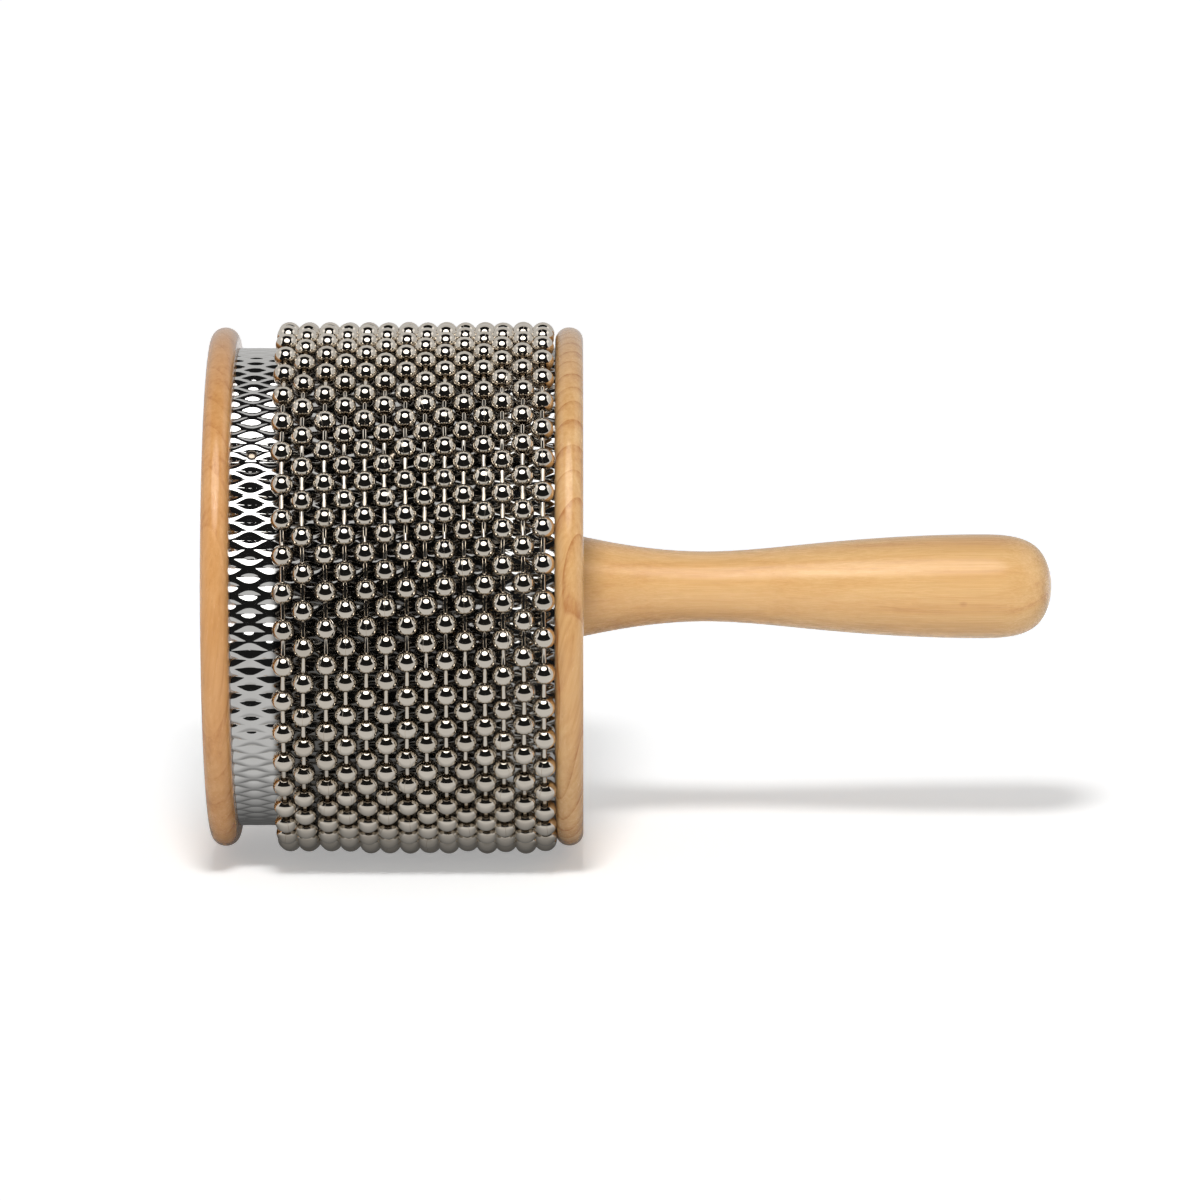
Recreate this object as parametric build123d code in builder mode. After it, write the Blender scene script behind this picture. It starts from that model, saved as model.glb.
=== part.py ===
"""Cabasa: a wooden spool wrapped in sheet steel, with loose loops of ball chain, on a turned handle.

Millimetres. The spool lies on its side with its axis along X and the handle towards +X. +Z is up.
The origin is on the surface that the loops rest on, under the middle of the overall length.
"""

import os
from math import asin, ceil, cos, degrees, pi, radians, sin, sqrt

from build123d import *

# Spool: two discs glued to a core
core_diameter = 104.2
core_length = 70.0
disc_overhang = 4.55  # how far a disc stands out past the steel sleeve, all round
disc_thickness = 6.2
disc_rim_flat = 0.2  # left between the two rounded edges of a disc's rim
glue_gap = 0.1  # radial room between glued wooden pieces

# Steel sleeve: a dented sheet rolled round the core, lapped over itself and nailed
sheet_thickness = 0.4
dent_depth = 0.5  # of the dents that hold the sheet off the core, left as room under a plain sheet
lap_width = 5.2  # how far the sheet's end lies over its start
lap_edge_angle = 40.2  # of the lap's free edge, above the horizontal on the -Y side
nail_count = 5
nail_end_distance = 4.6  # from each end of the sleeve to its nearest nail
nail_lap_distance = 1.6  # from the lap's free edge to the nails
nail_diameter = 1.2
nail_length = 12.0
nail_head_diameter = 2.4
nail_head_height = 0.4
nail_gap = 0.05

# Handle: turned, with a tenon that goes through its disc into the core
handle_length = 104.0
handle_base_diameter = 22.2
handle_base_slope = -0.22  # of the handle's side where it meets the disc
neck_diameter = 15.6
neck_distance = 26.0  # from the disc to the narrowest place
flank_diameter = 18.9
flank_distance = 50.0  # from the disc to a place on the swelling side
swell_diameter = 23.1
swell_tip_distance = 16.0  # from the thickest place to the tip
shoulder_diameter = 16.9
shoulder_tip_distance = 3.0  # from the rounded shoulder to the tip
tenon_diameter = 14.0
tenon_depth_in_core = 20.8
tenon_end_gap = 0.5  # left at the bottom of the core's socket for glue

# Coach screw that draws the handle onto the core, under a wooden plug
screw_diameter = 6.0
screw_bite = 35.2  # how deep it goes into the handle's tenon
screw_head_across_flats = 10.0
screw_head_height = 4.0
screw_head_room = 2.4  # between the head and the plug
screw_hole_gap = 0.25  # radial, in the core
pilot_gap = 0.05  # radial, in the handle
pilot_end_gap = 1.0
washer_thickness = 1.6
washer_hole_gap = 0.2
washer_side_gap = 1.0
plug_diameter = 20.0
plug_depth_in_core = 8.0
plug_recess = 0.2  # below the end disc's face

# Ball chain: hollow balls joined by links whose heads are caught inside them
ball_diameter = 5.0
ball_wall = 0.3
ball_hole_diameter = 1.6
ball_pitch = 7.94
link_diameter = 1.05
link_head_diameter = 1.8
link_head_height = 0.6
link_head_gap = 0.25  # from a head to the inside of its ball, along the link

# Loops of chain round the sleeve, nested because neighbours are staggered by half a pitch
loop_play = 1.0  # least radial room between the balls and the lap
loop_nesting = 0.72  # how much closer than a ball's width the loops lie
axial_play = 8.9  # least free length of sleeve beside the loops
loop_side_gap = 0.1  # from the last loop to the handle disc
first_loop_share = -0.31  # of a pitch, from the lowest point to the first loop's nearest ball
loop_drift_share = -0.022  # of a pitch, that each loop is turned on from an even stagger

# Radii and places along the axis, from the sizes above
core_radius = core_diameter / 2
sleeve_inner_radius = core_radius + dent_depth
sleeve_radius = sleeve_inner_radius + sheet_thickness
lap_radius = sleeve_radius + sheet_thickness
disc_radius = sleeve_radius + disc_overhang
disc_edge_radius = (disc_thickness - disc_rim_flat) / 2
plug_hole_radius = plug_diameter / 2 + glue_gap
tenon_hole_radius = tenon_diameter / 2 + glue_gap
nail_hole_radius = nail_diameter / 2 + nail_gap

overall_length = core_length + 2 * disc_thickness + handle_length
end_face_x = -overall_length / 2
core_x = end_face_x + disc_thickness
handle_disc_x = core_x + core_length
handle_x = handle_disc_x + disc_thickness
tenon_length = disc_thickness + tenon_depth_in_core
tenon_end_x = handle_x - tenon_length
swell_distance = handle_length - swell_tip_distance
shoulder_distance = handle_length - shoulder_tip_distance

socket_depth = tenon_depth_in_core + tenon_end_gap
screw_well_depth = plug_depth_in_core + screw_head_room + screw_head_height + washer_thickness
washer_radius = plug_hole_radius - washer_side_gap
screw_head_x = core_x + screw_well_depth - washer_thickness
screw_length = tenon_end_x + screw_bite - screw_head_x

nail_spacing = (core_length - 2 * nail_end_distance) / (nail_count - 1)
lap_angle = degrees(lap_width / lap_radius)
nail_angle = lap_edge_angle + degrees(nail_lap_distance / lap_radius)

# Sizes of the chain and its loops. Angles round the loops start at the lowest point and run towards +Y
ball_radius = ball_diameter / 2
balls_per_loop = ceil(pi / asin(ball_pitch / 2 / (lap_radius + loop_play + ball_radius)))
pitch_angle = 360 / balls_per_loop
loop_radius = ball_pitch / 2 / sin(radians(pitch_angle / 2))  # to the middles of the balls
link_radius = loop_radius * cos(radians(pitch_angle / 2))  # to the middles of the links
loop_spacing = ball_diameter - loop_nesting
loop_count = int((core_length - axial_play - loop_side_gap - ball_diameter) / loop_spacing) + 1
first_loop_x = handle_disc_x - loop_side_gap - ball_radius - (loop_count - 1) * loop_spacing
loop_turns = [
    pitch_angle * (first_loop_share + step * loop_drift_share + step % 2 / 2) for step in range(loop_count)
]
lowest_turn = min(abs((turn + pitch_angle / 2) % pitch_angle - pitch_angle / 2) for turn in loop_turns)
axis_height = loop_radius * cos(radians(lowest_turn)) + ball_radius

head_reach = sqrt((ball_radius - ball_wall) ** 2 - (link_head_diameter / 2) ** 2) - link_head_gap
link_length = ball_pitch - 2 * head_reach  # between the insides of its heads

FROM_START = (Align.CENTER, Align.CENTER, Align.MIN)
spool_axis = Axis((0, 0, axis_height), (1, 0, 0))


def across(x):
    """The plane square to the spool's axis at x, facing the handle, with its own X axis pointing up."""
    return Plane(origin=(x, 0, axis_height), x_dir=(0, 0, 1), z_dir=(1, 0, 0))


def along(x):
    """The upright plane through the spool's axis, with its own X axis along that from x."""
    return Plane(origin=(x, 0, axis_height), x_dir=(1, 0, 0), z_dir=(0, -1, 0))


def nail_plane(step):
    """Where a nail's head lies on the lap, with Z outward."""
    x = core_x + nail_end_distance + step * nail_spacing
    direction = Vector(0, -cos(radians(nail_angle)), sin(radians(nail_angle)))
    return Plane(origin=Vector(x, 0, axis_height) + direction * lap_radius, x_dir=(1, 0, 0), z_dir=direction)


def ring_places(x, radius, first_angle):
    """Places round the spool, a pitch apart, with Z along the chain."""
    places = []
    for step in range(balls_per_loop):
        angle = radians(first_angle + step * pitch_angle)
        centre = (x, radius * sin(angle), axis_height - radius * cos(angle))
        tangent = (0, cos(angle), sin(angle))
        places.append(Plane(origin=centre, x_dir=(1, 0, 0), z_dir=tangent).location)
    return places


def save(part, name):
    """Labels a finished piece and writes it as its own file."""
    part.label = name
    export_step(part, f"parts/{name}.step")


os.makedirs("parts", exist_ok=True)
nail_planes = [nail_plane(step) for step in range(nail_count)]

# End disc, with the hole that takes the plug
with BuildPart(across(end_face_x)) as end_disc:
    Cylinder(disc_radius, disc_thickness, align=FROM_START)
    fillet(end_disc.edges().filter_by(GeomType.CIRCLE), disc_edge_radius)
    Hole(plug_hole_radius)
save(end_disc.part, "end_disc")

# Core: screw well at one end, handle socket at the other, and nail holes along the lap
with BuildPart(across(core_x)) as core:
    Cylinder(core_radius, core_length, align=FROM_START)
    Hole(screw_diameter / 2 + screw_hole_gap)
    Cylinder(plug_hole_radius, screw_well_depth, align=FROM_START, mode=Mode.SUBTRACT)
    with Locations((0, 0, core_length - socket_depth)):
        Cylinder(tenon_hole_radius, socket_depth, align=FROM_START, mode=Mode.SUBTRACT)
    with BuildSketch(*nail_planes):
        Circle(nail_hole_radius)
    extrude(amount=-nail_length - nail_gap, mode=Mode.SUBTRACT)
save(core.part, "core")

# Steel sleeve with its lap, and the holes that the nails pass through
with BuildPart() as steel_sleeve:
    with BuildSketch(across(core_x)):
        Circle(sleeve_radius)
        Circle(sleeve_inner_radius, mode=Mode.SUBTRACT)
        with BuildLine():
            lap_outer = CenterArc((0, 0), lap_radius, 90 - lap_edge_angle, -lap_angle)
            lap_inner = CenterArc((0, 0), sleeve_inner_radius, 90 - lap_edge_angle, -lap_angle)
            Line(lap_outer @ 0, lap_inner @ 0)
            Line(lap_outer @ 1, lap_inner @ 1)
        make_face()
    extrude(amount=core_length)
    with BuildSketch(*nail_planes):
        Circle(nail_hole_radius)
    extrude(amount=-nail_length, mode=Mode.SUBTRACT)
save(steel_sleeve.part, "steel_sleeve")

# Nails along the lap
with BuildPart() as nail:
    Cylinder(nail_head_diameter / 2, nail_head_height, align=FROM_START)
    fillet(nail.edges().sort_by(Axis.Z)[-1], nail_head_height / 2)
    with Locations(Location((0, 0, 0), (180, 0, 0))):
        Cylinder(nail_diameter / 2, nail_length, align=FROM_START)
with BuildPart() as sleeve_nails:
    with Locations(*nail_planes):
        add(nail.part)
save(sleeve_nails.part, "sleeve_nails")

# Handle disc, bored for the tenon
with BuildPart(across(handle_disc_x)) as handle_disc:
    Cylinder(disc_radius, disc_thickness, align=FROM_START)
    fillet(handle_disc.edges().filter_by(GeomType.CIRCLE), disc_edge_radius)
    Hole(tenon_hole_radius)
save(handle_disc.part, "handle_disc")

# Handle: waisted near the disc, swelling to a round end, with its tenon and pilot hole
with BuildPart(across(tenon_end_x)) as handle:
    with BuildSketch(along(handle_x)):
        with BuildLine():
            side = Spline(
                (0, handle_base_diameter / 2),
                (neck_distance, neck_diameter / 2),
                (flank_distance, flank_diameter / 2),
                (swell_distance, swell_diameter / 2),
                tangents=[(1, handle_base_slope), (1, 0)],
            )
            end = Spline(
                side @ 1,
                (shoulder_distance, shoulder_diameter / 2),
                (handle_length, 0),
                tangents=[(1, 0), (0, -1)],
            )
            Polyline(end @ 1, (0, 0), side @ 0)
        make_face()
    revolve(axis=spool_axis)
    Cylinder(tenon_diameter / 2, tenon_length, align=FROM_START)
    Cylinder(screw_diameter / 2 + pilot_gap, screw_bite + pilot_end_gap, align=FROM_START, mode=Mode.SUBTRACT)
save(handle.part, "handle")

# Coach screw, its washer, and the plug that covers them
with BuildPart(across(screw_head_x)) as draw_screw:
    Cylinder(screw_diameter / 2, screw_length, align=FROM_START)
    chamfer(draw_screw.edges().sort_by(Axis.X)[-1], screw_diameter / 4)
    with BuildSketch(across(screw_head_x)):
        RegularPolygon(screw_head_across_flats / 2, 6, major_radius=False)
    extrude(amount=-screw_head_height)
save(draw_screw.part, "draw_screw")

with BuildPart(across(screw_head_x)) as screw_washer:
    Cylinder(washer_radius, washer_thickness, align=FROM_START)
    Hole(screw_diameter / 2 + washer_hole_gap)
save(screw_washer.part, "screw_washer")

with BuildPart(across(end_face_x + plug_recess)) as end_plug:
    Cylinder(plug_diameter / 2, disc_thickness + plug_depth_in_core - plug_recess, align=FROM_START)
save(end_plug.part, "end_plug")

# One hollow ball and one link, each lying along Z
with BuildPart() as ball:
    Sphere(ball_radius)
    Sphere(ball_radius - ball_wall, mode=Mode.SUBTRACT)
    Hole(ball_hole_diameter / 2)

with BuildPart() as link:
    Cylinder(link_diameter / 2, link_length + 2 * link_head_height)
    with Locations((0, 0, link_length / 2), Location((0, 0, -link_length / 2), (180, 0, 0))):
        Cylinder(link_head_diameter / 2, link_head_height, align=FROM_START)

# Loops of chain, counted from the end disc
for step, turn in enumerate(loop_turns):
    loop_x = first_loop_x + step * loop_spacing
    with BuildPart() as balls:
        with Locations(*ring_places(loop_x, loop_radius, turn)):
            add(ball.part)
    save(balls.part, f"loop_{step + 1:02d}_balls")
    with BuildPart() as links:
        with Locations(*ring_places(loop_x, link_radius, turn + pitch_angle / 2)):
            add(link.part)
    save(links.part, f"loop_{step + 1:02d}_links")

print("loops", loop_count, "balls in each", balls_per_loop, "loop radius", round(loop_radius, 3))
print("overall length", overall_length, "disc diameter", 2 * disc_radius, "axis height", round(axis_height, 4))
print("free sleeve beside the loops", round(first_loop_x - ball_radius - core_x, 3))
print("screw length under its head", round(screw_length, 2))
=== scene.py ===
"""Cabasa: the looks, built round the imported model. Shapes are worked out in millimetres, as the CAD is."""

from math import cos, pi, radians, sin, sqrt

import bpy
import numpy as np
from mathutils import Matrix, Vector


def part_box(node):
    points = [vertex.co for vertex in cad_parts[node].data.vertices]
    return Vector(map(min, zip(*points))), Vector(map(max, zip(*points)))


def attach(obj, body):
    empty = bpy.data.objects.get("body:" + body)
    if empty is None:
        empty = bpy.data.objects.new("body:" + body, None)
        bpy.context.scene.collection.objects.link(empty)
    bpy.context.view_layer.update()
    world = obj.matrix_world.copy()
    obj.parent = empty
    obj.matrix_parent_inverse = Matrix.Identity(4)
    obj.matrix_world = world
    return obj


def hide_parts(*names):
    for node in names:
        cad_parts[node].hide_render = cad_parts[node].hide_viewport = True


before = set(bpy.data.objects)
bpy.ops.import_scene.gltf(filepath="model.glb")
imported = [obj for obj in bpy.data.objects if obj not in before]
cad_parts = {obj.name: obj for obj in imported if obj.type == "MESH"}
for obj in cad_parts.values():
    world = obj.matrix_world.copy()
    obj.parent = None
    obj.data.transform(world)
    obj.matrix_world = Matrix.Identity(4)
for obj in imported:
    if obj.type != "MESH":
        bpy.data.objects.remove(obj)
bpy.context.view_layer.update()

# Places and radii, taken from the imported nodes


def span(node):
    """A node's lowest and highest corners in millimetres."""
    low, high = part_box(node)
    return np.array(low) * 1000, np.array(high) * 1000


end_disc_low, end_disc_high = span("end_disc")
handle_disc_low, handle_disc_high = span("handle_disc")
handle_low, handle_high = span("handle")
plug_low, plug_high = span("end_plug")
core_low, core_high = span("core")

AXIS_Z = (end_disc_low[2] + end_disc_high[2]) / 2
DISC_RADIUS = (end_disc_high[2] - end_disc_low[2]) / 2
CORE_RADIUS = (core_high[2] - core_low[2]) / 2
PLUG_RADIUS = (plug_high[2] - plug_low[2]) / 2

# Sizes that the boxes don't give
DISC_EDGE_RADIUS = 3.0
BORE_BREAK = 0.25
PLUG_BREAK = 0.3
GLUE_GAP = 0.1
PLUG_HOLE_RADIUS = PLUG_RADIUS + GLUE_GAP
TENON_RADIUS = 7.0
TENON_HOLE_RADIUS = TENON_RADIUS + GLUE_GAP
TENON_BREAK = 0.5

# Handle: distances from its disc and radii, from the base past the neck to the swell and on to the tip
HANDLE_SIDE = [(0, 11.1), (26.0, 7.8), (50.0, 9.45), (88.0, 11.55)]
HANDLE_END = [(88.0, 11.55), (101.0, 8.45), (104.0, 0.0)]
HANDLE_BASE_SLOPE = -0.22

# Steps round a turned piece
DISC_STEPS = 192
PLUG_STEPS = 96
HANDLE_STEPS = 128

SLEEVE_RADIUS = 53.0
SHEET_THICKNESS = 0.4
LAP_RADIUS = SLEEVE_RADIUS + SHEET_THICKNESS
LAP_EDGE_ANGLE = 40.2
LAP_ANGLE = 5.58
LAP_RAMP_ANGLE = 9.0
SHEET_COLUMNS = 211
SHEET_END_GAP = 0.05
SHEET_CORE_GAP = 0.02
SHEET_START_DIP = 0.03
DENT_DEPTH = 0.62
DENT_TAPER = 2.5
DENT_FLARE = 2.8
DENT_HALF_LENGTH = 4.1
DENT_HALF_HEIGHT = 1.75
DENT_COLUMN_SPACING = 4.4
DENT_PITCH_ANGLE = 4.33
FIRST_DENT_ANGLE = 38.1

NAIL_COUNT = 5
NAIL_END_DISTANCE = 4.6
NAIL_ANGLE = 41.92
NAIL_HEAD_RADIUS = 1.15
NAIL_HEAD_HEIGHT = 0.4
NAIL_TILT = 0.06
NAIL_STEPS = 28

LOOP_COUNT = 14
BALLS_PER_LOOP = 45
PITCH_ANGLE = 360 / BALLS_PER_LOOP
BALL_PITCH = 7.94
LOOP_RADIUS = BALL_PITCH / 2 / sin(radians(PITCH_ANGLE / 2))
BALL_RADIUS = 2.5
BALL_WALL = 0.3
BALL_HOLE_RADIUS = 0.8
LINK_RADIUS = 0.525
LINK_HEAD_RADIUS = 0.9
LINK_HEAD_REACH = 1.65
LINK_STEPS = 14

# How slack lets each loop lie, counted from the end disc: its lowest balls drawn up, the loop moved along
LOOP_LIFTS = [0.60, 0.55, 0.60, 0.50, 0.05, 0.02, 0.05, 0.02, 0.05, 0.45, 0.02, 0.25, 0.02, 0.45]
LOOP_SHIFTS = [0.10, 0.10, 0.70, 0.65, 0.75, 0.70, 0.85, 0.75, 0.65, 0.50, 0.45, 0.15, 0.25, 0.25]
LOOP_TOP_SAG = 0.6
BALL_SWAY = 0.05
BALL_SLACK = 0.04
# How far the first and the last loop lean along the axis at the top and at the bottom
TOP_LEANS = (-1.05, -0.40)
BOTTOM_LEANS = (-1.00, 0.15)
# How far a ball may lean towards the end disc and still clear its rim when the loops slide there
END_DISC_ROOM = 0.62

random = np.random.default_rng(11)


# Mesh helpers


def smoothstep(value):
    """0 below 0, 1 above 1 and an even ease between them."""
    value = np.clip(value, 0.0, 1.0)
    return value * value * (3 - 2 * value)


def grid_faces(rows, columns, close_rows, close_columns, first=0):
    """Quads over a grid of points that are numbered row by row."""
    row = np.arange(rows if close_rows else rows - 1)
    column = np.arange(columns if close_columns else columns - 1)
    row, column = np.meshgrid(row, column, indexing="ij")
    row, column = row.ravel(), column.ravel()
    next_row, next_column = (row + 1) % rows, (column + 1) % columns
    corners = (
        row * columns + column,
        row * columns + next_column,
        next_row * columns + next_column,
        next_row * columns + column,
    )
    return np.stack(corners, axis=1) + first


def piece(name, points, faces, material, body, slot, *nodes, sharp_angle=None):
    """Makes a smooth piece from points in millimetres, on a body, in place of the nodes it stands for."""
    mesh = bpy.data.meshes.new(name)
    mesh.from_pydata((np.asarray(points) / 1000).tolist(), [], [list(map(int, face)) for face in faces])
    mesh.shade_smooth()
    if sharp_angle is not None:
        mesh.set_sharp_from_angle(angle=radians(sharp_angle))
    mesh.materials.append(material)
    made = bpy.data.objects.new(name, mesh)
    bpy.context.scene.collection.objects.link(made)
    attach(made, body)
    if nodes:
        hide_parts(*nodes)
    return made


def mark(made, name, values):
    """Keeps a value for each point, for the material to read."""
    attribute = made.data.attributes.new(name, "FLOAT", "POINT")
    attribute.data.foreach_set("value", np.asarray(values, np.float32))


def lathe(profile, steps):
    """Turns a closed profile of (x, radius) about the spool's axis. A radius of 0 makes a single point."""
    points = []
    rings = []
    for x, radius in profile:
        if radius == 0:
            rings.append([len(points)] * steps)
            points.append((x, 0, AXIS_Z))
            continue
        rings.append(list(range(len(points), len(points) + steps)))
        for step in range(steps):
            angle = 2 * pi * step / steps
            points.append((x, radius * cos(angle), AXIS_Z + radius * sin(angle)))
    faces = []
    for ring, following in zip(rings, rings[1:] + rings[:1]):
        if ring[0] == ring[1] and following[0] == following[1]:
            continue
        for step in range(steps):
            after = (step + 1) % steps
            corners = [ring[step], following[step], following[after], ring[after]]
            faces.append(list(dict.fromkeys(corners)))
    return points, faces


def arc(centre, radius, start, end, steps):
    """Points of an arc in (x, radius) terms, with angles in degrees from the X axis."""
    angles = np.radians(np.linspace(start, end, steps + 1))
    return [(centre[0] + radius * cos(a), centre[1] + radius * sin(a)) for a in angles]


def spline(points, start, end, steps):
    """A smooth curve through points, with its directions at both ends, by solving for the slopes between."""
    points = np.array(points, float)
    lengths = np.linalg.norm(np.diff(points, axis=0), axis=1)
    count = len(points)
    matrix = np.eye(count)
    wanted = np.zeros((count, 2))
    wanted[0], wanted[-1] = start, end
    for index in range(1, count - 1):
        before, after = lengths[index - 1], lengths[index]
        matrix[index, index - 1 : index + 2] = (after, 2 * (before + after), before)
        rise_before = (points[index] - points[index - 1]) / before
        rise_after = (points[index + 1] - points[index]) / after
        wanted[index] = 3 * (after * rise_before + before * rise_after)
    slopes = np.linalg.solve(matrix, wanted)
    curve = [points[0]]
    for index, length in enumerate(lengths):
        for t in np.linspace(0, 1, steps + 1)[1:]:
            at = (2 * t**3 - 3 * t**2 + 1) * points[index] + (3 * t**2 - 2 * t**3) * points[index + 1]
            at = at + length * ((t**3 - 2 * t**2 + t) * slopes[index] + (t**3 - t**2) * slopes[index + 1])
            curve.append(at)
    return [(float(x), float(y)) for x, y in curve]


# Material helpers


def feed(tree, socket, value):
    """Links a socket to another, or sets its value."""
    if isinstance(value, bpy.types.NodeSocket):
        tree.links.new(value, socket)
    else:
        socket.default_value = value


def node(tree, kind, inputs, **settings):
    """Adds a node with its settings and inputs. Inputs go by name or by number."""
    made = tree.nodes.new(kind)
    for key, value in settings.items():
        setattr(made, key, value)
    for key, value in inputs.items():
        feed(tree, made.inputs[key], value)
    return made


def math(tree, operation, first, second=0.0, third=0.0):
    """The value of a sum."""
    return node(tree, "ShaderNodeMath", {0: first, 1: second, 2: third}, operation=operation).outputs[0]


def vector_math(tree, operation, *values):
    """The outputs of a sum of vectors."""
    return node(tree, "ShaderNodeVectorMath", dict(enumerate(values)), operation=operation).outputs


def stretch(tree, vector, scale):
    """Coordinates multiplied axis by axis."""
    return vector_math(tree, "MULTIPLY", vector, scale)[0]


def noise(tree, vector, detail=2.0, roughness=0.5):
    """Soft noise from 0 to 1, about one swell to a unit."""
    inputs = {"Vector": vector, "Scale": 1.0, "Detail": detail, "Roughness": roughness}
    return node(tree, "ShaderNodeTexNoise", inputs).outputs["Fac"]


def ramp(tree, factor, stops):
    """A colour ramp with (place, colour) stops."""
    made = node(tree, "ShaderNodeValToRGB", {"Fac": factor})
    elements = made.color_ramp.elements
    while len(elements) < len(stops):
        elements.new(0.5)
    for element, (place, colour) in zip(elements, stops):
        element.position = place
        element.color = (*colour, 1.0)
    return made.outputs["Color"]


def fade(tree, value, low, high, to_low=0.0, to_high=1.0):
    """A value mapped from one range to another, and held at its ends."""
    inputs = {"Value": value, "From Min": low, "From Max": high, "To Min": to_low, "To Max": to_high}
    return node(tree, "ShaderNodeMapRange", inputs).outputs["Result"]


def mix(tree, factor, first, second, blend="MIX"):
    """Two colours mixed."""
    inputs = {0: factor, 6: first, 7: second}
    return node(tree, "ShaderNodeMix", inputs, data_type="RGBA", blend_type=blend).outputs[2]


def new_material(name):
    """A material with its node tree and its shader."""
    material = bpy.data.materials.new(name)
    material.use_nodes = True
    return material, material.node_tree, material.node_tree.nodes["Principled BSDF"]


def linear(red, green, blue):
    """A colour as it is seen on screen, from 0 to 255, in the shader's own terms."""
    return tuple(((v / 255 + 0.055) / 1.055) ** 2.4 for v in (red, green, blue))


def wood(name, light, middle, dark, turn, pith, ring_spacing, ring_share, lacquer, specks=()):
    """Turned pale hardwood. turn brings the grain to the X axis, and pith is the tree's middle across it."""
    material, tree, shader = new_material(name)
    place = node(tree, "ShaderNodeTexCoord", {}).outputs["Object"]
    grain = node(
        tree,
        "ShaderNodeMapping",
        {"Vector": place, "Rotation": [radians(a) for a in turn], "Scale": (1000.0, 1000.0, 1000.0)},
    ).outputs["Vector"]

    # Growth rings, warped a little, with a dark late edge
    swell = stretch(tree, grain, (0.016, 0.05, 0.05))
    warp = node(tree, "ShaderNodeTexNoise", {"Vector": swell, "Scale": 1.0, "Detail": 2.0}).outputs["Color"]
    warp = vector_math(tree, "SUBTRACT", warp, (0.5, 0.5, 0.5))[0]
    warped = vector_math(tree, "MULTIPLY_ADD", warp, (7.0, 7.0, 7.0), grain)[0]
    from_pith = vector_math(tree, "SUBTRACT", warped, (0.0, *pith))[0]
    from_pith = stretch(tree, from_pith, (0.012, 1.0, 1.0))
    reach = vector_math(tree, "LENGTH", from_pith)["Value"]
    ring = math(tree, "FRACT", math(tree, "DIVIDE", reach, ring_spacing))
    late = math(tree, "POWER", ring, 5.0)
    late = math(tree, "MULTIPLY", late, fade(tree, ring, 0.97, 1.0, 1.0, 0.0))

    # Tone along the grain
    streak = noise(tree, stretch(tree, grain, (0.014, 1.3, 1.3)), 3.0, 0.5)
    blotch = noise(tree, stretch(tree, grain, (0.010, 0.20, 0.20)), 2.0)
    figure = noise(tree, stretch(tree, grain, (0.35, 0.12, 0.12)), 2.0)
    tone = math(tree, "MULTIPLY_ADD", streak, 0.42, 0.045)
    tone = math(tree, "MULTIPLY_ADD", blotch, 0.55, tone)
    tone = math(tree, "MULTIPLY_ADD", figure, 0.05, tone)
    tone = math(tree, "MULTIPLY_ADD", late, ring_share, tone)
    colour = ramp(tree, tone, [(0.30, light), (0.62, middle), (1.0, dark)])

    # Fine flecks, and small marks at given places
    fleck = noise(tree, stretch(tree, grain, (0.12, 3.0, 3.0)), 1.0)
    fleck = fade(tree, fleck, 0.66, 0.80, 0.0, 0.16)
    colour = mix(tree, fleck, colour, (*dark, 1.0), "MULTIPLY")
    for centre, radius, share in specks:
        offset = vector_math(tree, "SUBTRACT", place, [c / 1000 for c in centre])[0]
        offset = stretch(tree, offset, (600.0, 1000.0, 1000.0))
        away = vector_math(tree, "LENGTH", offset)["Value"]
        speck = fade(tree, math(tree, "MULTIPLY_ADD", streak, 0.8, away), radius, radius * 2.4, share, 0.0)
        colour = mix(tree, speck, colour, (*dark, 1.0), "MULTIPLY")
    feed(tree, shader.inputs["Base Color"], colour)

    # Lacquer over the fibres
    fibre = noise(tree, stretch(tree, grain, (0.06, 4.5, 4.5)), 3.0, 0.6)
    feed(tree, shader.inputs["Roughness"], fade(tree, fibre, 0.2, 0.8, lacquer, lacquer + 0.14))
    bump = node(tree, "ShaderNodeBump", {"Height": fibre, "Strength": 0.05, "Distance": 0.0001})
    feed(tree, shader.inputs["Normal"], bump.outputs["Normal"])
    shader.inputs["Specular IOR Level"].default_value = 0.5
    shader.inputs["Coat Weight"].default_value = 0.4
    shader.inputs["Coat Roughness"].default_value = lacquer
    return material


def plated(name, colour, tint_and_shade, roughness, patch_scale, scratch_share):
    """Bright metal with faint smears and fine scratches, and painted shade, darker and rougher, where a piece
    is marked with it.
    """
    material, tree, shader = new_material(name)
    place = node(tree, "ShaderNodeTexCoord", {}).outputs["Object"]
    smear = noise(tree, stretch(tree, place, (patch_scale, patch_scale, patch_scale)), 3.0)
    scratch = noise(tree, stretch(tree, place, (900.0, 2600.0, 2600.0)), 2.0, 0.7)
    painted_shade = node(tree, "ShaderNodeAttribute", {}, attribute_name="painted_shade").outputs["Fac"]
    tone = node(tree, "ShaderNodeAttribute", {}, attribute_name="tone").outputs["Fac"]
    pale = tuple(min(1.0, c * 1.06) for c in colour)
    face = ramp(tree, smear, [(0.35, colour), (0.7, pale)])
    face = mix(tree, fade(tree, tone, 0.0, 1.0, 0.0, 0.22), face, (*tint_and_shade, 1.0))
    # Painted shade: where a piece is marked, its colour goes over to the dark colour
    face = mix(tree, painted_shade, face, (*tint_and_shade, 1.0))
    feed(tree, shader.inputs["Base Color"], face)
    shader.inputs["Metallic"].default_value = 1.0
    rough = fade(tree, smear, 0.3, 0.75, roughness, roughness * 1.7)
    rough = math(tree, "MULTIPLY_ADD", scratch, scratch_share, rough)
    rough = math(tree, "MULTIPLY_ADD", painted_shade, 0.07, rough)
    feed(tree, shader.inputs["Roughness"], rough)
    return material


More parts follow.
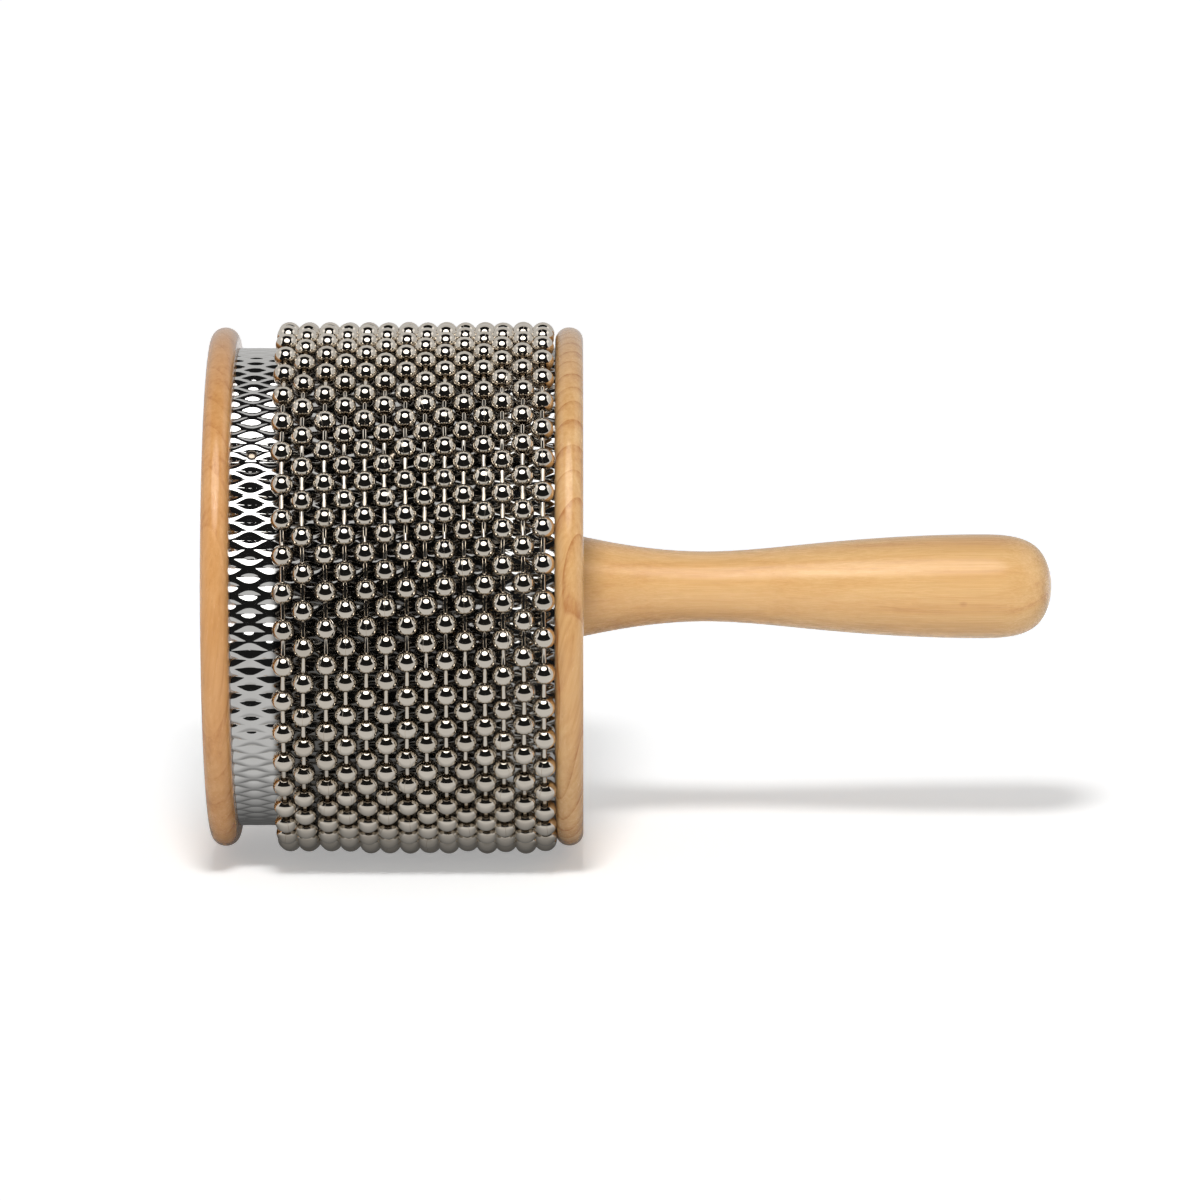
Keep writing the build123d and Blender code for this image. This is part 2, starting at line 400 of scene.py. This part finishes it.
maple_handle = wood(
    "maple_handle", linear(226, 187, 132), linear(211, 165, 107), linear(176, 115, 62),
    (0, 0, 0), (38.0, -70.0), 3.1, 0.10, 0.20,
    [((73.1, -10.8, AXIS_Z - 2.1), 0.55, 0.75), ((16.2, -7.0, AXIS_Z + 4.6), 0.25, 0.45)],
)
maple_end_disc = wood(
    "maple_end_disc", linear(209, 160, 106), linear(193, 140, 85), linear(154, 90, 42),
    (4, 83, 10), (30.0, 46.0), 5.2, 0.14, 0.17,
)
maple_handle_disc = wood(
    "maple_handle_disc", linear(213, 174, 123), linear(196, 151, 98), linear(156, 92, 46),
    (-6, 76, 4), (-42.0, 30.0), 4.6, 0.28, 0.17,
)
maple_plug = wood(
    "maple_plug", linear(226, 186, 136), linear(212, 166, 112), linear(172, 120, 72),
    (0, 88, 35), (9.0, 14.0), 2.2, 0.30, 0.34,
)
core_wood = wood(
    "core_wood", linear(214, 180, 134), linear(200, 162, 114), linear(160, 116, 72),
    (0, 0, 0), (5.0, 3.0), 3.2, 0.34, 0.55,
)
# The second colour is painted shade where a piece is marked with it, and the dark end of a ball's random tint
bright_steel = plated("bright_steel", (0.72, 0.71, 0.69), (0.045, 0.043, 0.04), 0.035, 260.0, 0.015)
nickel_plate = plated("nickel_plate", (0.78, 0.715, 0.625), (0.36, 0.30, 0.23), 0.022, 420.0, 0.008)
nail_steel = plated("nail_steel", (0.34, 0.28, 0.22), (0.14, 0.11, 0.08), 0.10, 1500.0, 0.08)
zinc_steel = plated("zinc_steel", (0.55, 0.56, 0.58), (0.30, 0.30, 0.31), 0.32, 500.0, 0.12)


# Discs: flat faces with a full round rim and a small break at the bore


def disc_profile(low, high, bore):
    """The section of a disc between two places along the axis."""
    inner, outer = low + DISC_EDGE_RADIUS, high - DISC_EDGE_RADIUS
    rim = DISC_RADIUS - DISC_EDGE_RADIUS
    section = [(low + BORE_BREAK, bore), (low, bore + BORE_BREAK)]
    section += [(low, bore + (rim - bore) * share) for share in (0.25, 0.5, 0.75)]
    section += arc((inner, rim), DISC_EDGE_RADIUS, 180, 90, 12)
    section += arc((outer, rim), DISC_EDGE_RADIUS, 90, 0, 12)
    section += [(high, bore + (rim - bore) * share) for share in (0.75, 0.5, 0.25)]
    section += [(high, bore + BORE_BREAK), (high - BORE_BREAK, bore)]
    return section


end_disc_profile = disc_profile(end_disc_low[0], end_disc_high[0], PLUG_HOLE_RADIUS)
piece(
    "end_disc_turned", *lathe(end_disc_profile, DISC_STEPS),
    maple_end_disc, "drum", "maple", "end_disc", sharp_angle=35,
)
handle_disc_profile = disc_profile(handle_disc_low[0], handle_disc_high[0], TENON_HOLE_RADIUS)
piece(
    "handle_disc_turned", *lathe(handle_disc_profile, DISC_STEPS),
    maple_handle_disc, "drum", "maple", "handle_disc", sharp_angle=35,
)

# End plug, with broken edges
plug_profile = [
    (plug_low[0], 0), (plug_low[0], PLUG_RADIUS * 0.6), (plug_low[0], PLUG_RADIUS - PLUG_BREAK),
    (plug_low[0] + PLUG_BREAK, PLUG_RADIUS), (plug_high[0] - PLUG_BREAK, PLUG_RADIUS),
    (plug_high[0], PLUG_RADIUS - PLUG_BREAK), (plug_high[0], 0),
]
piece(
    "end_plug_turned", *lathe(plug_profile, PLUG_STEPS),
    maple_plug, "drum", "maple", "end_plug", sharp_angle=35,
)

# Handle: waist, swell and round end, with its tenon
handle_x = handle_disc_high[0]
base_run = sqrt(1 / (1 + HANDLE_BASE_SLOPE**2))
handle_side = spline(HANDLE_SIDE, (base_run, HANDLE_BASE_SLOPE * base_run), (1, 0), 16)
handle_end = spline(HANDLE_END, (1, 0), (0, -1), 14)
handle_outline = [(handle_x + x, max(radius, 0.0)) for x, radius in handle_side + handle_end[1:]]
handle_outline[-1] = (handle_high[0], 0)
handle_profile = [
    (handle_low[0], 0), (handle_low[0], TENON_RADIUS - TENON_BREAK),
    (handle_low[0] + TENON_BREAK, TENON_RADIUS), (handle_x, TENON_RADIUS),
]
handle_profile += handle_outline
piece(
    "handle_turned", *lathe(handle_profile, HANDLE_STEPS),
    maple_handle, "drum", "maple", "handle", sharp_angle=40,
)


# Steel sleeve: one rolled sheet with staggered almond-shaped dents, lapped over its own start


def dent_depths(x, angle):
    """How deep the sheet is pressed in at places along the sleeve and angles above the horizontal."""
    depth = np.zeros(np.broadcast(x, angle).shape)
    for column in range(int((core_high[0] - core_low[0]) / DENT_COLUMN_SPACING) + 2):
        along = (x - core_low[0] - column * DENT_COLUMN_SPACING) / DENT_HALF_LENGTH
        width = np.clip(1 - along**2, 0.0, 1.0)
        shift = FIRST_DENT_ANGLE + (DENT_PITCH_ANGLE / 2 if column % 2 == 0 else 0.0)
        around = (angle - shift + DENT_PITCH_ANGLE / 2) % DENT_PITCH_ANGLE - DENT_PITCH_ANGLE / 2
        across = np.abs(np.radians(around)) * SLEEVE_RADIUS
        share = np.clip(across / (DENT_HALF_HEIGHT * np.maximum(width, 0.001)), 0.0, 1.0)
        side = 1 - (share - share**DENT_FLARE / DENT_FLARE) / (1 - 1 / DENT_FLARE)
        depth += DENT_DEPTH * width**DENT_TAPER * side
    return depth


total_angle = 360 + LAP_ANGLE
half_pitches = int(total_angle / DENT_PITCH_ANGLE * 2) + 1
offsets = np.array([0.0, 0.035, 0.085, 0.15, 0.25, 0.35, 0.415, 0.465]) * DENT_PITCH_ANGLE
start_angle = LAP_EDGE_ANGLE + LAP_ANGLE
first_run = (start_angle - FIRST_DENT_ANGLE) % (DENT_PITCH_ANGLE / 2)
half_pitch_runs = [
    first_run + step * DENT_PITCH_ANGLE / 2 + offsets for step in range(-1, half_pitches)
]
sheet_run = np.concatenate(half_pitch_runs)
sheet_run = sheet_run[(sheet_run > 0.05) & (sheet_run < total_angle - 0.05)]
sheet_run = np.concatenate([[0.0], sheet_run, [total_angle]])
sheet_angle = start_angle - sheet_run
sheet_x = np.linspace(core_low[0] + SHEET_END_GAP, core_high[0] - SHEET_END_GAP, SHEET_COLUMNS)
climb = smoothstep((sheet_run - (360 - LAP_RAMP_ANGLE)) / LAP_RAMP_ANGLE)
dip = SHEET_START_DIP * (1 - smoothstep((sheet_run - LAP_ANGLE) / 4.0))
grid_angle, grid_x = np.meshgrid(sheet_angle, sheet_x, indexing="ij")
outer_radius = SLEEVE_RADIUS + (SHEET_THICKNESS * climb - dip)[:, None] - dent_depths(grid_x, grid_angle)
inner_radius = CORE_RADIUS + SHEET_CORE_GAP + SHEET_THICKNESS * climb


def on_sleeve(x, radius, angle):
    """Points at angles above the horizontal on the -Y side."""
    angle = np.radians(angle)
    return np.stack([x, -radius * np.cos(angle), AXIS_Z + radius * np.sin(angle)], axis=-1)


runs, across_count = grid_x.shape
outer_points = on_sleeve(grid_x, outer_radius, grid_angle).reshape(-1, 3)
first_side = on_sleeve(np.full(runs, sheet_x[0]), inner_radius, sheet_angle)
last_side = on_sleeve(np.full(runs, sheet_x[-1]), inner_radius, sheet_angle)
first_start = len(outer_points)
last_start = first_start + runs
sleeve_faces = grid_faces(runs, across_count, False, False)[:, ::-1].tolist()
for run in range(runs - 1):
    here, there = run * across_count, (run + 1) * across_count
    sleeve_faces.append([here, first_start + run, first_start + run + 1, there])
    here_end, there_end = here + across_count - 1, there + across_count - 1
    sleeve_faces.append([there_end, last_start + run + 1, last_start + run, here_end])
    sleeve_faces.append([first_start + run, last_start + run, last_start + run + 1, first_start + run + 1])
sleeve_faces.append(list(range(across_count)) + [last_start, first_start])
last_row = list(range((runs - 1) * across_count, runs * across_count))
sleeve_faces.append([first_start + runs - 1, last_start + runs - 1] + last_row[::-1])
sleeve_points = np.concatenate([outer_points, first_side, last_side])
sleeve = piece(
    "steel_sleeve_dented", sleeve_points, sleeve_faces, bright_steel, "drum", "bright_steel", "steel_sleeve",
    sharp_angle=50,
)
# Painted shade on the steel under the loops, darkening the gaps between the balls, less so where they uncover
# it by the handle disc
under_loops = smoothstep((sleeve_points[:, 0] - span("loop_01_balls")[0][0] + 0.8) / 2.0)
left_bare = smoothstep((sleeve_points[:, 0] - span("loop_14_balls")[0][0] + 9.0) / 3.0)
mark(sleeve, "painted_shade", under_loops * (0.85 - 0.45 * left_bare))

# Nails along the lap: low domed heads, a little uneven
nail_points, nail_faces = [], []
for step in range(NAIL_COUNT):
    low_x, high_x = core_low[0] + NAIL_END_DISTANCE, core_high[0] - NAIL_END_DISTANCE
    centre_x = low_x + (high_x - low_x) * step / (NAIL_COUNT - 1)
    outward = np.array([0, -cos(radians(NAIL_ANGLE)), sin(radians(NAIL_ANGLE))])
    sideways = np.array([0, sin(radians(NAIL_ANGLE)), cos(radians(NAIL_ANGLE))])
    seat = np.array([centre_x, 0, AXIS_Z]) + outward * LAP_RADIUS
    tilt = random.uniform(-NAIL_TILT, NAIL_TILT, 2)
    rows = [
        (-11.0, 0.25), (-10.2, 0.6), (-0.3, 0.6), (-0.12, 1.1), (0.04, NAIL_HEAD_RADIUS),
        (0.16, 1.14), (0.27, 0.92), (0.35, 0.62), (NAIL_HEAD_HEIGHT - 0.01, 0.3),
    ]
    first = len(nail_points)
    for height, radius in rows:
        for column in range(NAIL_STEPS):
            angle = 2 * pi * column / NAIL_STEPS
            across, along = radius * cos(angle), radius * sin(angle)
            lift = height + (tilt[0] * across + tilt[1] * along if height > 0.1 else 0.0)
            nail_points.append(seat + outward * lift + sideways * along + np.array([across, 0, 0]))
    nail_faces += grid_faces(len(rows), NAIL_STEPS, False, True, first).tolist()
    nail_faces.append(list(range(first, first + NAIL_STEPS))[::-1])
    nail_faces.append(list(range(first + (len(rows) - 1) * NAIL_STEPS, first + len(rows) * NAIL_STEPS)))
piece(
    "sleeve_nails_domed", nail_points, nail_faces, nail_steel, "drum", "nail_steel", "sleeve_nails",
    sharp_angle=60,
)


# One hollow ball, with rolled holes and a fine seam, and one link, both lying along Z


def ball_mesh():
    """Points, faces and the painted shade of each point: full inside and at the hole lips, fading over the
    face round the holes. The seam is at the ball's own +X side.
    """
    hole = np.degrees(np.arcsin(BALL_HOLE_RADIUS / BALL_RADIUS)) + 2.5
    polar = np.radians(np.linspace(hole, 180 - hole, 19))
    outer = [(BALL_RADIUS * cos(a), BALL_RADIUS * sin(a)) for a in polar]
    top, edge = outer[0]
    lip = [(top - 0.16, BALL_HOLE_RADIUS + 0.03), (top - 0.05, BALL_HOLE_RADIUS), (top, edge - 0.05)]
    inside_polar = np.radians(np.linspace(180 - hole - 2, hole + 2, 6))
    inside = [((BALL_RADIUS - BALL_WALL) * cos(a), (BALL_RADIUS - BALL_WALL) * sin(a)) for a in inside_polar]
    rows = lip + outer + [(-height, radius) for height, radius in lip[::-1]] + inside
    angles = np.radians([0.0, 1.7, 4.2] + list(range(15, 346, 15)) + [355.8, 358.3])
    depth = np.zeros(len(angles))
    depth[0] = 0.10
    rims = len(lip)
    points, painted_shade = [], []
    for index, (height, radius) in enumerate(rows):
        on_face = rims <= index < rims + len(outer)
        share = min(abs(index - rims), abs(index - rims - len(outer) + 1)) / 3 if on_face else 0.0
        for angle, groove in zip(angles, depth):
            reach = radius - (groove if on_face else 0.0)
            points.append((reach * cos(angle), reach * sin(angle), height))
            # Painted shade inside the ball and at its lips, fading over three rows of the face from each hole
            painted_shade.append(max(0.0, 0.9 - share) if on_face else 1.0)
    return np.array(points), grid_faces(len(rows), len(angles), True, True), np.array(painted_shade)


def link_mesh():
    """A turned pin with a head at each end, for two balls a pitch apart."""
    reach = BALL_PITCH / 2 - LINK_HEAD_REACH
    half = [
        (reach + 0.6, 0.35), (reach + 0.55, 0.72), (reach + 0.38, LINK_HEAD_RADIUS),
        (reach + 0.12, LINK_HEAD_RADIUS), (reach, 0.74), (reach - 0.12, LINK_RADIUS + 0.04),
        (reach - 0.5, LINK_RADIUS),
    ]
    rows = half + [(0.0, LINK_RADIUS - 0.02)] + [(-height, radius) for height, radius in half[::-1]]
    points = []
    for height, radius in rows:
        for column in range(LINK_STEPS):
            angle = 2 * pi * column / LINK_STEPS
            points.append((radius * cos(angle), radius * sin(angle), height))
    faces = grid_faces(len(rows), LINK_STEPS, False, True).tolist()
    faces.append(list(range(LINK_STEPS))[::-1])
    faces.append(list(range((len(rows) - 1) * LINK_STEPS, len(rows) * LINK_STEPS)))
    return np.array(points), faces


def around_z(angle):
    """A turn about Z."""
    return np.array([[cos(angle), -sin(angle), 0], [sin(angle), cos(angle), 0], [0, 0, 1]])


def along_line(direction):
    """Axes with Z along a direction and X as near to the spool's axis as that leaves."""
    direction = direction / np.linalg.norm(direction)
    sideways = np.array([1.0, 0.0, 0.0]) - direction * direction[0]
    sideways /= np.linalg.norm(sideways)
    return np.stack([sideways, np.cross(direction, sideways), direction], axis=1)


ball_points, ball_faces, ball_painted_shade = ball_mesh()
link_points, link_faces = link_mesh()

# The loops, counted from the end disc. The last one stays by the handle disc when the others slide
for step in range(LOOP_COUNT):
    loop_low, loop_high = span(f"loop_{step + 1:02d}_balls")
    loop_x = (loop_low[0] + loop_high[0]) / 2
    turn = PITCH_ANGLE * (-0.31 - 0.022 * step + step % 2 / 2)
    angles = np.radians(turn + np.arange(BALLS_PER_LOOP) * PITCH_ANGLE)
    height = -np.cos(angles)
    sag = LOOP_TOP_SAG * np.clip(height, 0, 1) ** 2
    slack = sag + LOOP_LIFTS[step] * np.clip(-height, 0, 1) ** 3
    first_and_last = (0, LOOP_COUNT - 1)
    top_lean = np.interp(step, first_and_last, TOP_LEANS)
    bottom_lean = np.interp(step, first_and_last, BOTTOM_LEANS)
    lean = np.where(height > 0, top_lean, bottom_lean) * np.abs(height)
    sway = LOOP_SHIFTS[step] + lean + random.normal(0, BALL_SWAY, BALLS_PER_LOOP)
    sway = np.maximum(sway, -END_DISC_ROOM)
    radius = LOOP_RADIUS - slack - np.abs(random.normal(0, BALL_SLACK, BALLS_PER_LOOP))
    centres = np.stack([loop_x + sway, radius * np.sin(angles), AXIS_Z - radius * np.cos(angles)], axis=1)

    points, faces, painted_shade, tones = [], [], [], []
    for index in range(BALLS_PER_LOOP):
        before, after = centres[index - 1], centres[(index + 1) % BALLS_PER_LOOP]
        axes = along_line(after - before) @ around_z(random.uniform(0, 2 * pi))
        faces.append(ball_faces + index * len(ball_points))
        points.append(ball_points @ axes.T + centres[index])
        # Painted shade round the holes, stronger on some balls than on others
        painted_shade.append(ball_painted_shade * random.uniform(0.55, 1.0))
        tones.append(np.full(len(ball_points), random.uniform(0, 1) ** 2))
    body = "handle_side_loop" if step == LOOP_COUNT - 1 else "sliding_loops"
    balls = piece(
        f"loop_{step + 1:02d}_ball_shells", np.concatenate(points), np.concatenate(faces).tolist(),
        nickel_plate, body, "nickel_plate", f"loop_{step + 1:02d}_balls", sharp_angle=70,
    )
    mark(balls, "painted_shade", np.concatenate(painted_shade))
    mark(balls, "tone", np.concatenate(tones))

    points, faces = [], []
    for index in range(BALLS_PER_LOOP):
        here, there = centres[index], centres[(index + 1) % BALLS_PER_LOOP]
        axes = along_line(there - here)
        faces += [[corner + index * len(link_points) for corner in face] for face in link_faces]
        points.append(link_points @ axes.T + (here + there) / 2)
    piece(
        f"loop_{step + 1:02d}_link_pins", np.concatenate(points), faces,
        nickel_plate, body, "nickel_plate", f"loop_{step + 1:02d}_links", sharp_angle=50,
    )

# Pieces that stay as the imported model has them
for name, material in (("core", core_wood), ("draw_screw", zinc_steel), ("screw_washer", zinc_steel)):
    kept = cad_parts[name]
    kept.data.materials.clear()
    kept.data.materials.append(material)

# Floor and studio


def seen_white(tree):
    """1 for rays from the camera, and for what metal and glass show, and 0 for the rest."""
    rays = node(tree, "ShaderNodeLightPath", {}).outputs
    seen = math(tree, "MAXIMUM", rays["Is Camera Ray"], rays["Is Glossy Ray"])
    return math(tree, "MAXIMUM", seen, rays["Is Transmission Ray"])


def sheet(left, right, near, far, height):
    """Corners of a level sheet in metres."""
    return [(left, near, height), (right, near, height), (right, far, height), (left, far, height)]


def upright(x, near, far, top):
    """Corners of an upright sheet across the X axis in metres."""
    return [(x, near, 0.0), (x, far, 0.0), (x, far, top), (x, near, top)]


def flat(name, corners, material):
    """A flat stage sheet through corners in metres."""
    mesh = bpy.data.meshes.new(name)
    mesh.from_pydata(corners, [], [list(range(len(corners)))])
    mesh.materials.append(material)
    made = bpy.data.objects.new(name, mesh)
    bpy.context.scene.collection.objects.link(made)
    return made


def glow(name, strength):
    """A plain glowing material."""
    material = bpy.data.materials.new(name)
    material.use_nodes = True
    tree = material.node_tree
    tree.nodes.remove(tree.nodes["Principled BSDF"])
    light = node(tree, "ShaderNodeEmission", {"Strength": strength})
    feed(tree, tree.nodes["Material Output"].inputs["Surface"], light.outputs[0])
    return material


def card(name, corners, material):
    """A studio card that only shows in reflections."""
    made = flat(name, corners, material)
    made.visible_camera = False
    made.visible_diffuse = False
    made.visible_shadow = False
    made.visible_transmission = False
    return made


def shaded_table(name, strength):
    """A glowing sheet with a painted shadow under the spool, for what the metal shows of the table."""
    material = glow(name, strength)
    tree = material.node_tree
    place = node(tree, "ShaderNodeTexCoord", {}).outputs["Object"]
    axes = node(tree, "ShaderNodeSeparateXYZ", {0: place}).outputs
    beyond = []
    for axis, middle, half in ((axes["X"], -0.052, 0.038), (axes["Y"], 0.022, 0.038)):
        away = math(tree, "ABSOLUTE", math(tree, "SUBTRACT", axis, middle))
        beyond.append(math(tree, "MAXIMUM", math(tree, "SUBTRACT", away, half), 0.0))
    squares = [math(tree, "POWER", distance, 2.0) for distance in beyond]
    reach = math(tree, "SQRT", math(tree, "ADD", *squares))
    light = fade(tree, reach, 0.0, 0.045, 0.16 * strength, strength)
    feed(tree, tree.nodes["Emission"].inputs["Strength"], light)
    return material


dark = glow("dark_card", 0.012)
grey = glow("grey_card", 0.60)
softbox = glow("softbox", 3.2)
table = shaded_table("table_card", 0.62)

KEY_PLACE = Vector((-0.05, -0.59, 0.67))
KEY_AIM = Vector((-0.03, 0.0, 0.05))
KEY_LEVEL = 2.2
KEY_SIZE = 0.14
FILL_SIZE = (1.2, 0.24)
AMBIENT_LEVEL = 0.25
FLOOR_COLOUR = 0.95
WHITE_LEVEL = 1.02
# Low lamps on the front, left and right: place and level
FILLS = (
    ("fill_front", Vector((-0.1, -1.3, 0.13)), 0.6),
    ("fill_left", Vector((-1.3, -0.3, 0.13)), 0.5),
    ("fill_right", Vector((1.3, -0.3, 0.13)), 0.5),
)

key_reach = (KEY_AIM - KEY_PLACE).length
key_direction = (KEY_AIM - KEY_PLACE) / key_reach

floor_material = bpy.data.materials.new("floor")
floor_material.use_nodes = True
floor_tree = floor_material.node_tree
floor_tree.nodes.remove(floor_tree.nodes["Principled BSDF"])
floor_grey = (FLOOR_COLOUR, FLOOR_COLOUR, FLOOR_COLOUR, 1.0)
floor_face = node(floor_tree, "ShaderNodeBsdfDiffuse", {"Color": floor_grey})

# What the key and the surroundings leave short of white on the bare floor, so that only shadows show on it
floor_place = node(floor_tree, "ShaderNodeTexCoord", {}).outputs["Object"]
from_key = vector_math(floor_tree, "SUBTRACT", floor_place, list(KEY_PLACE))[0]
reach_squared = vector_math(floor_tree, "DOT_PRODUCT", from_key, from_key)["Value"]
along_key = vector_math(floor_tree, "DOT_PRODUCT", from_key, list(key_direction))["Value"]
key_share = FLOOR_COLOUR * KEY_LEVEL / pi * key_reach**2 * KEY_PLACE.z
key_light = math(floor_tree, "DIVIDE", along_key, math(floor_tree, "MULTIPLY", reach_squared, reach_squared))
short = math(floor_tree, "MULTIPLY_ADD", key_light, -key_share, WHITE_LEVEL - FLOOR_COLOUR * AMBIENT_LEVEL)
short = math(floor_tree, "MULTIPLY", math(floor_tree, "MAXIMUM", short, 0.0), seen_white(floor_tree))
floor_lift = node(floor_tree, "ShaderNodeEmission", {"Strength": short})
floor_sum = node(floor_tree, "ShaderNodeAddShader", {0: floor_face.outputs[0], 1: floor_lift.outputs[0]})
feed(floor_tree, floor_tree.nodes["Material Output"].inputs["Surface"], floor_sum.outputs[0])
flat("floor", sheet(-9, 9, -9, 9, -0.00002), floor_material)

# Cards that the metal shows: a grey table and sides, a dark front and ceiling, and one softbox
card("grey_table", sheet(-1.6, 1.5, -0.64, 0.16, 0.0004), table)
card(
    "dark_apron",
    [(-1.4, -0.62, 0.0006), (1.4, -0.62, 0.0006), (0.34, -0.19, 0.0006), (-0.42, -0.19, 0.0006)],
    dark,
)
card(
    "dark_front",
    [(-1.4, -0.62, 0.001), (1.4, -0.62, 0.001), (0.80, -0.62, 0.48), (-0.90, -0.62, 0.48)],
    dark,
)
card(
    "dark_above",
    [(-0.90, -0.62, 0.48), (0.80, -0.62, 0.48), (0.52, -0.20, 0.93), (-0.62, -0.20, 0.93)],
    dark,
)
softbox_x, softbox_y, softbox_z = -0.05, -0.428, 0.67
softbox_width, softbox_rise = 0.33, 0.20
oval = [2 * pi * step / 32 for step in range(32)]
softbox_corners = [
    (softbox_x + softbox_width * cos(a), softbox_y + softbox_rise * sin(a), softbox_z + softbox_rise * sin(a))
    for a in oval
]
card("softbox", softbox_corners, softbox)
card("dark_ceiling", sheet(-0.62, 0.52, -0.24, 0.30, 0.93), dark)
card("grey_left", upright(-1.6, -0.64, 1.0, 1.3), grey)
card("grey_right", upright(1.5, -0.64, 1.0, 1.3), grey)
card("grey_back", [(-1.3, 0.31, 0.93), (1.2, 0.31, 0.93), (1.2, 1.0, 0.02), (-1.3, 1.0, 0.02)], grey)

world = bpy.data.worlds.new("studio")
bpy.context.scene.world = world
world.use_nodes = True
world_tree = world.node_tree
ambient = world_tree.nodes["Background"]
ambient.inputs["Color"].default_value = (1.0, 1.0, 1.0, 1.0)
ambient.inputs["Strength"].default_value = AMBIENT_LEVEL
plain_white = node(world_tree, "ShaderNodeBackground", {"Color": (1.0, 1.0, 1.0, 1.0), "Strength": 1.0})
world_parts = {0: seen_white(world_tree), 1: ambient.outputs[0], 2: plain_white.outputs[0]}
world_mix = node(world_tree, "ShaderNodeMixShader", world_parts)
feed(world_tree, world_tree.nodes["World Output"].inputs["Surface"], world_mix.outputs[0])

key_data = bpy.data.lights.new("key", "AREA")
key_data.shape = "DISK"
key_data.size = KEY_SIZE
key_data.energy = KEY_LEVEL * pi * key_reach**2
key = bpy.data.objects.new("key", key_data)
key.location = KEY_PLACE
key.rotation_euler = (-key_direction).to_track_quat("Z", "Y").to_euler()
key.visible_glossy = False
bpy.context.scene.collection.objects.link(key)

for name, place, level in FILLS:
    fill_data = bpy.data.lights.new(name, "AREA")
    fill_data.shape = "RECTANGLE"
    fill_data.size, fill_data.size_y = FILL_SIZE
    fill_data.energy = level * pi * (KEY_AIM - place).length ** 2
    fill = bpy.data.objects.new(name, fill_data)
    fill.location = place
    fill.rotation_euler = (place - KEY_AIM).to_track_quat("Z", "Y").to_euler()
    fill.visible_glossy = False
    bpy.context.scene.collection.objects.link(fill)

# Camera: aim and distance in metres, and how far it looks down in degrees
CAMERA_AIM = Vector((-0.0071, -0.0005, 0.05645))
CAMERA_DISTANCE = 1.6
CAMERA_SIDE = -0.003
CAMERA_TILT = 10
CAMERA_LENS = 216.0

camera_data = bpy.data.cameras.new("camera")
camera_data.sensor_width = 36.0
camera_data.lens = CAMERA_LENS
camera_data.clip_end = 50.0
camera = bpy.data.objects.new("camera", camera_data)
camera_tilt = radians(CAMERA_TILT)
camera.location = CAMERA_AIM + CAMERA_DISTANCE * Vector((CAMERA_SIDE, -cos(camera_tilt), sin(camera_tilt)))
camera.rotation_euler = (camera.location - CAMERA_AIM).to_track_quat("Z", "Y").to_euler()
bpy.context.scene.collection.objects.link(camera)
bpy.context.scene.camera = camera
bpy.context.scene.view_settings.view_transform = "Standard"
